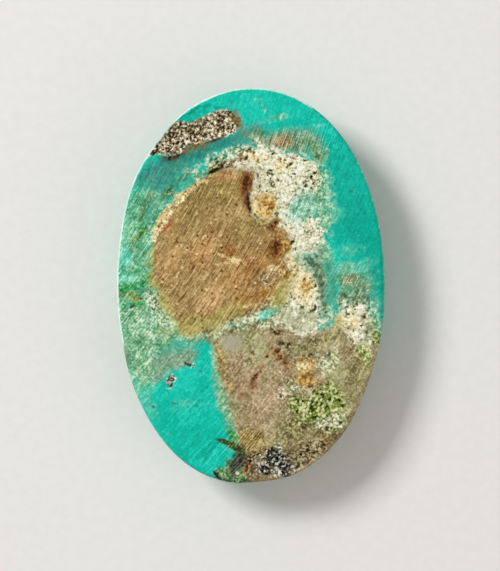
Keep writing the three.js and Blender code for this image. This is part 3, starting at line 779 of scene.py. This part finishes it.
def rock_patterns(tree):
    """The patterns that tones follow, mostly between -1 and 1, as two vectors of three.

    With them come the scatter of grains across a zone's edge, the flecks and the scratches.
    """
    place = node(tree, "TexCoord").outputs["Object"]
    here = node(tree, "VectorMath", {0: place, "Scale": 1 / MM}, operation="SCALE").outputs[0]

    def swells(size, detail, roughness, gain):
        """Noise with swells of `size` mm, centred on 0."""
        made = node(tree, "TexNoise", {"Vector": here, "Scale": 1 / size, "Detail": detail,
            "Roughness": roughness}).outputs[0]
        return node(tree, "Math", {0: made, 1: gain, 2: -gain / 2}, operation="MULTIPLY_ADD").outputs[0]

    blotch = swells(BLOTCH, 2, 0.5, 6.0)
    mottle = swells(MOTTLE, 3, 0.7, 6.0)
    fleck = swells(FLECK, 1, 0.8, 8.0)

    # scratches run along arcs round the lap's centre, so they are drawn by radius and turn
    away = node(tree, "VectorMath", {0: here, 1: (*LAP_CENTRE, 0)}, operation="SUBTRACT").outputs[0]
    parts = node(tree, "SeparateXYZ", {0: away}).outputs
    flat = node(tree, "CombineXYZ", {"X": parts["X"], "Y": parts["Y"]}).outputs[0]
    radius = node(tree, "VectorMath", {0: flat}, operation="LENGTH").outputs["Value"]
    turn = node(tree, "Math", {0: parts["Y"], 1: parts["X"]}, operation="ARCTAN2").outputs[0]
    scratch = None
    for width, length, cut in SCRATCHES:
        along = node(tree, "Math", {0: turn, 1: LAP_REACH / length}, operation="MULTIPLY").outputs[0]
        over = node(tree, "Math", {0: radius, 1: 1 / width}, operation="MULTIPLY").outputs[0]
        at = node(tree, "CombineXYZ", {"X": over, "Y": along}).outputs[0]
        made = node(tree, "TexNoise", {"Vector": at, "Scale": 1.0, "Detail": 2},
            noise_dimensions="2D").outputs[0]
        light = node(tree, "MapRange", {"Value": made, "From Min": 0.5 + cut / 3,
            "From Max": 0.5 + cut}).outputs["Result"]
        dark = node(tree, "MapRange", {"Value": made, "From Min": 0.5 - cut / 3,
            "From Max": 0.5 - cut}).outputs["Result"]
        lines = node(tree, "Math", {0: light, 1: dark}, operation="SUBTRACT").outputs[0]
        if scratch:
            lines = node(tree, "Math", {0: scratch, 1: lines}, operation="ADD").outputs[0]
        scratch = lines

    # the mesh's own lumps, darker where they sink, are broken up by rounded grains, each with a
    # tone of its own and painted shading: lighter in the middle, painted shade in the gaps
    lump = node(tree, "Attribute", attribute_name="grain").outputs["Fac"]
    lump = node(tree, "Math", {0: lump, 1: 2.0, 2: -1.2}, operation="MULTIPLY_ADD").outputs[0]
    bend = node(tree, "TexNoise", {"Vector": here, "Scale": 1 / ROUND_GRAIN, "Detail": 1})
    bent = node(tree, "VectorMath", {0: bend.outputs["Color"], 1: (0.7 * ROUND_GRAIN,) * 3, 2: here},
        operation="MULTIPLY_ADD").outputs[0]
    cells = node(tree, "TexVoronoi", {"Vector": bent, "Scale": 1 / ROUND_GRAIN}).outputs
    painted_grain_shading = node(tree, "MapRange", {"Value": cells["Distance"], "From Min": 0.15,
        "From Max": 0.6, "To Min": 0.6, "To Max": -0.65}).outputs["Result"]
    own = node(tree, "SeparateColor", {0: cells["Color"]}).outputs[0]
    own = node(tree, "Math", {0: own, 1: 0.8, 2: -0.4}, operation="MULTIPLY_ADD").outputs[0]
    grain = node(tree, "Math", {0: own, 1: painted_grain_shading}, operation="ADD").outputs[0]
    grain = node(tree, "Math", {0: lump, 1: grain}, operation="ADD").outputs[0]

    # specks are round: full within 0.07 mm of their middle, and gone at 0.14 mm
    cells = node(tree, "TexVoronoi", {"Vector": here, "Scale": 1 / SPECK_GAP}).outputs
    spot = node(tree, "MapRange", {"Value": cells["Distance"], "From Min": 0.34,
        "From Max": 0.16}).outputs["Result"]
    kind = node(tree, "SeparateColor", {0: cells["Color"]}).outputs[0]
    pale = node(tree, "Math", {0: kind, 1: 1 - SPECK_SHARE}, operation="GREATER_THAN").outputs[0]
    dark = node(tree, "Math", {0: kind, 1: SPECK_SHARE}, operation="LESS_THAN").outputs[0]
    sign = node(tree, "Math", {0: pale, 1: dark}, operation="SUBTRACT").outputs[0]
    speck = node(tree, "Math", {0: sign, 1: spot}, operation="MULTIPLY").outputs[0]

    soft = node(tree, "CombineXYZ", {"X": blotch, "Y": mottle, "Z": fleck}).outputs[0]
    hard = node(tree, "CombineXYZ", {"X": scratch, "Y": grain, "Z": speck}).outputs[0]
    scatter = node(tree, "Math", {0: fleck, 1: 0.3, 2: mottle}, operation="MULTIPLY_ADD").outputs[0]
    return soft, hard, scatter, fleck, scratch


def ground_turquoise(colours):
    """Turquoise and its matrix: the back ground on a lap, the wall and dome polished.

    Dense turquoise keeps a strong even colour, and the limonite beside it is dull and brown.
    Loose crusts scatter light, so they look chalky. The ground back is matt and scratched,
    and the polished sides have a clear, soft gloss.
    """
    made = bpy.data.materials.new("turquoise_and_matrix_ground")
    made.use_nodes = True
    tree = made.node_tree
    tree.nodes.clear()
    soft, hard, scatter, fleck, scratch = rock_patterns(tree)

    def tones(family, texture):
        """Colour of one family of tones, deep to light, by the patterns it follows."""
        one, two = (
            node(tree, "VectorMath", {0: pattern, 1: [weight / 2 for weight in weights]},
                operation="DOT_PRODUCT").outputs["Value"]
            for pattern, weights in ((soft, texture.soft), (hard, texture.hard))
        )
        both = node(tree, "Math", {0: one, 1: two}, operation="ADD").outputs[0]
        tone = node(tree, "Math", {0: both, 1: 0.5}, operation="ADD").outputs[0]
        ramp = node(tree, "ValToRGB", {0: tone})
        ramp.color_ramp.elements.new(0.5)
        for stop, level in zip(ramp.color_ramp.elements, LEVELS):
            stop.color = [*getattr(colours, family + "_" + level), 1]
        return ramp.outputs["Color"]

    colour = tones("turquoise", TEXTURES["dense"])
    for zone in ZONES:
        inside = node(tree, "Attribute", attribute_name="zone_" + zone.name).outputs["Fac"]
        begin, stray, scattered = zone.edge
        if scattered:
            inside = node(tree, "Math", {0: scatter, 1: scattered / 2, 2: inside},
                operation="MULTIPLY_ADD").outputs[0]
        share = node(tree, "MapRange", {"Value": inside, "From Min": -begin,
            "From Max": begin}, interpolation_type="SMOOTHSTEP").outputs["Result"]
        over = tones(zone.tones, TEXTURES[zone.texture])
        colour = node(tree, "Mix", {0: share, 6: colour, 7: over}, data_type="RGBA").outputs[2]

    # painted shade and dirt in the pits: the deeper a pit, the darker its colour
    hollow = node(tree, "Attribute", attribute_name="hollow").outputs["Fac"]
    shade = node(tree, "MapRange", {"Value": hollow, "From Min": 0.15, "From Max": 0.7,
        "To Min": 1.0, "To Max": 0.75}).outputs["Result"]
    colour = node(tree, "VectorMath", {0: colour, "Scale": shade}, operation="SCALE").outputs[0]

    # ground stone is matt, loose crust rougher, and the dome and its wall are polished
    loose = node(tree, "Attribute", attribute_name="loose").outputs["Fac"]
    polish = node(tree, "Attribute", attribute_name="polish").outputs["Fac"]
    matt = node(tree, "MapRange", {"Value": loose, "To Min": GROUND,
        "To Max": CRUMBLING}).outputs["Result"]
    rough = node(tree, "Mix", {0: polish, 2: matt, 3: POLISHED}).outputs[0]

    # the finest scratches and grains are too small for the mesh, and none is on the polish
    grooves = node(tree, "Math", {0: scratch, 1: 0.5, 2: fleck}, operation="MULTIPLY_ADD").outputs[0]
    tooth = node(tree, "MapRange", {"Value": loose, "To Min": 0.3, "To Max": 1.0}).outputs["Result"]
    depth = node(tree, "Mix", {0: polish, 2: tooth, 3: 0.0}).outputs[0]
    bump = node(tree, "Bump", {"Strength": depth, "Distance": TOOTH_HEIGHT * MM,
        "Height": grooves}).outputs["Normal"]
    shader = node(tree, "BsdfPrincipled", {"Base Color": colour, "Roughness": rough,
        "IOR": STONE_IOR, "Specular IOR Level": 0.1, "Normal": bump, "Coat Weight": polish,
        "Coat Roughness": 0.1, "Coat IOR": STONE_IOR})
    node(tree, "OutputMaterial", {"Surface": shader.outputs[0]})
    return made


def seamless_paper():
    """Matt paper of a studio floor: pale, even, with a barely visible tooth."""
    made = bpy.data.materials.new("seamless_paper_matt")
    made.use_nodes = True
    tree = made.node_tree
    tree.nodes.clear()
    place = node(tree, "TexCoord").outputs["Object"]
    tooth = node(tree, "TexNoise", {"Vector": place, "Scale": 1 / (PAPER_TOOTH * MM),
        "Detail": 3}).outputs[0]
    tints = [linear(code) for code in FLOOR]
    tint = node(tree, "Mix", {0: tooth, 6: tints[0], 7: tints[1]}, data_type="RGBA")
    shader = node(tree, "BsdfPrincipled", {"Base Color": tint.outputs[2], "Roughness": 0.9,
        "Specular IOR Level": 0.1})
    node(tree, "OutputMaterial", {"Surface": shader.outputs[0]})
    return made


# ---------------------------------------------------------------- properties

class StoneSizes(bpy.types.PropertyGroup):
    """Sizes of the stone."""

    length: FloatProperty(name="Length", description="Long way of the oval", unit="LENGTH",
        default=HIGH.y - LOW.y, min=0.001)
    width: FloatProperty(name="Width", description="Short way of the oval", unit="LENGTH",
        default=HIGH.x - LOW.x, min=0.001)
    thickness: FloatProperty(name="Thickness", description="From the resting flat to the back",
        unit="LENGTH", default=HIGH.z - LOW.z, min=0.001)
    relief: FloatProperty(name="Relief", description="How deep the pits and crusts are",
        subtype="FACTOR", default=1.0, min=0.0, max=1.0)


class StoneColours(bpy.types.PropertyGroup):
    """Deep, middle and light tone of each kind of rock in the stone."""


for family, codes in PALETTE.items():
    for level, code in zip(LEVELS, codes):
        StoneColours.__annotations__[family + "_" + level] = FloatVectorProperty(
            name=family.capitalize() + ", " + level, description="The " + level + " tone of the rock",
            subtype="COLOR", size=3, min=0, max=1, default=linear(code)[:3])


class StageSizes(bpy.types.PropertyGroup):
    """Sizes and strengths of the studio."""

    floor: FloatProperty(name="Floor", description="Side of the floor", unit="LENGTH", default=4.0)
    camera_height: FloatProperty(name="Camera height", description="Camera above the stone's back",
        unit="LENGTH", default=0.3)
    view_height: FloatProperty(name="View height", description="What the camera sees from top to bottom",
        unit="LENGTH", default=0.049)
    key: FloatProperty(name="Key light", description="Main light, from the upper left", default=3.7)
    fill: FloatProperty(name="Fill light", description="Weaker light, from the lower right", default=0.8)
    room: FloatProperty(name="Room light", description="Even light from all sides", default=0.42)


# ---------------------------------------------------------------- operators

class BuildStone(bpy.types.Operator):
    """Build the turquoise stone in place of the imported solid"""

    bl_idname = "stone.build_stone"
    bl_label = "Turquoise stone"

    def execute(self, context):
        mesh = build_mesh(context.scene.stone_sizes)
        mesh.materials.append(ground_turquoise(context.scene.stone_colours))
        piece = bpy.data.objects.new("turquoise_stone_ground", mesh)
        context.scene.collection.objects.link(piece)
        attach(piece, BODY)
        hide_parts(NODE)
        return {"FINISHED"}


class BuildStage(bpy.types.Operator):
    """Build the floor, the studio lights and the camera"""

    bl_idname = "stone.build_stage"
    bl_label = "Stage"

    def execute(self, context):
        scene = context.scene
        sizes = scene.stage_sizes
        middle = (LOW + HIGH) / 2
        half = sizes.floor / 2
        mesh = bpy.data.meshes.new("floor_sheet")
        mesh.from_pydata([(-half, -half, 0), (half, -half, 0), (half, half, 0), (-half, half, 0)],
            [], [(0, 1, 2, 3)])
        mesh.materials.append(seamless_paper())
        floor = bpy.data.objects.new("floor", mesh)
        floor.location.z = LOW.z
        scene.collection.objects.link(floor)

        lamps = (
            ("key_light", sizes.key, 0.22, (-0.42, 0.30, 0.50)),
            ("fill_light", sizes.fill, 0.60, (0.55, -0.35, 0.35)),
        )
        for name, power, side, place in lamps:
            lamp = bpy.data.lights.new(name, "AREA")
            lamp.energy = power
            lamp.shape = "SQUARE"
            lamp.size = side
            holder = bpy.data.objects.new(name, lamp)
            holder.location = place
            holder.rotation_euler = (-Vector(place)).to_track_quat("-Z", "Y").to_euler()
            holder.visible_camera = False
            scene.collection.objects.link(holder)

        world = bpy.data.worlds.new("even_room")
        world.use_nodes = True
        sky = world.node_tree.nodes["Background"]
        sky.inputs["Color"].default_value = linear(ROOM_LIGHT)
        sky.inputs["Strength"].default_value = sizes.room
        scene.world = world

        camera = bpy.data.cameras.new("camera")
        camera.sensor_width = 36.0
        camera.lens = camera.sensor_width * sizes.camera_height / sizes.view_height
        holder = bpy.data.objects.new("camera", camera)
        aim = middle + Vector((*CAMERA_AIM, 0)) * MM
        holder.location = (aim.x, aim.y, HIGH.z + sizes.camera_height)
        scene.collection.objects.link(holder)
        scene.camera = holder
        scene.view_settings.view_transform = "Standard"
        return {"FINISHED"}


class StonePanel(bpy.types.Panel):
    """Sizes, colours and build buttons"""

    bl_idname = "STONE_PT_panel"
    bl_label = "Turquoise stone"
    bl_space_type = "VIEW_3D"
    bl_region_type = "UI"
    bl_category = "Stone"

    def draw(self, context):
        for group in (context.scene.stone_sizes, context.scene.stone_colours, context.scene.stage_sizes):
            box = self.layout.box()
            for name in group.__annotations__:
                box.prop(group, name)
        for operator in (BuildStone, BuildStage):
            self.layout.operator(operator.bl_idname)


CLASSES = (StoneSizes, StoneColours, StageSizes, BuildStone, BuildStage, StonePanel)
GROUPS = {"stone_sizes": StoneSizes, "stone_colours": StoneColours, "stage_sizes": StageSizes}


def register():
    for made in CLASSES:
        bpy.utils.register_class(made)
    for name, group in GROUPS.items():
        setattr(bpy.types.Scene, name, PointerProperty(type=group))


def unregister():
    for name in GROUPS:
        delattr(bpy.types.Scene, name)
    for made in reversed(CLASSES):
        bpy.utils.unregister_class(made)


def main():
    register()
    bpy.ops.stone.build_stone()
    bpy.ops.stone.build_stage()


if __name__ == "__main__":
    main()
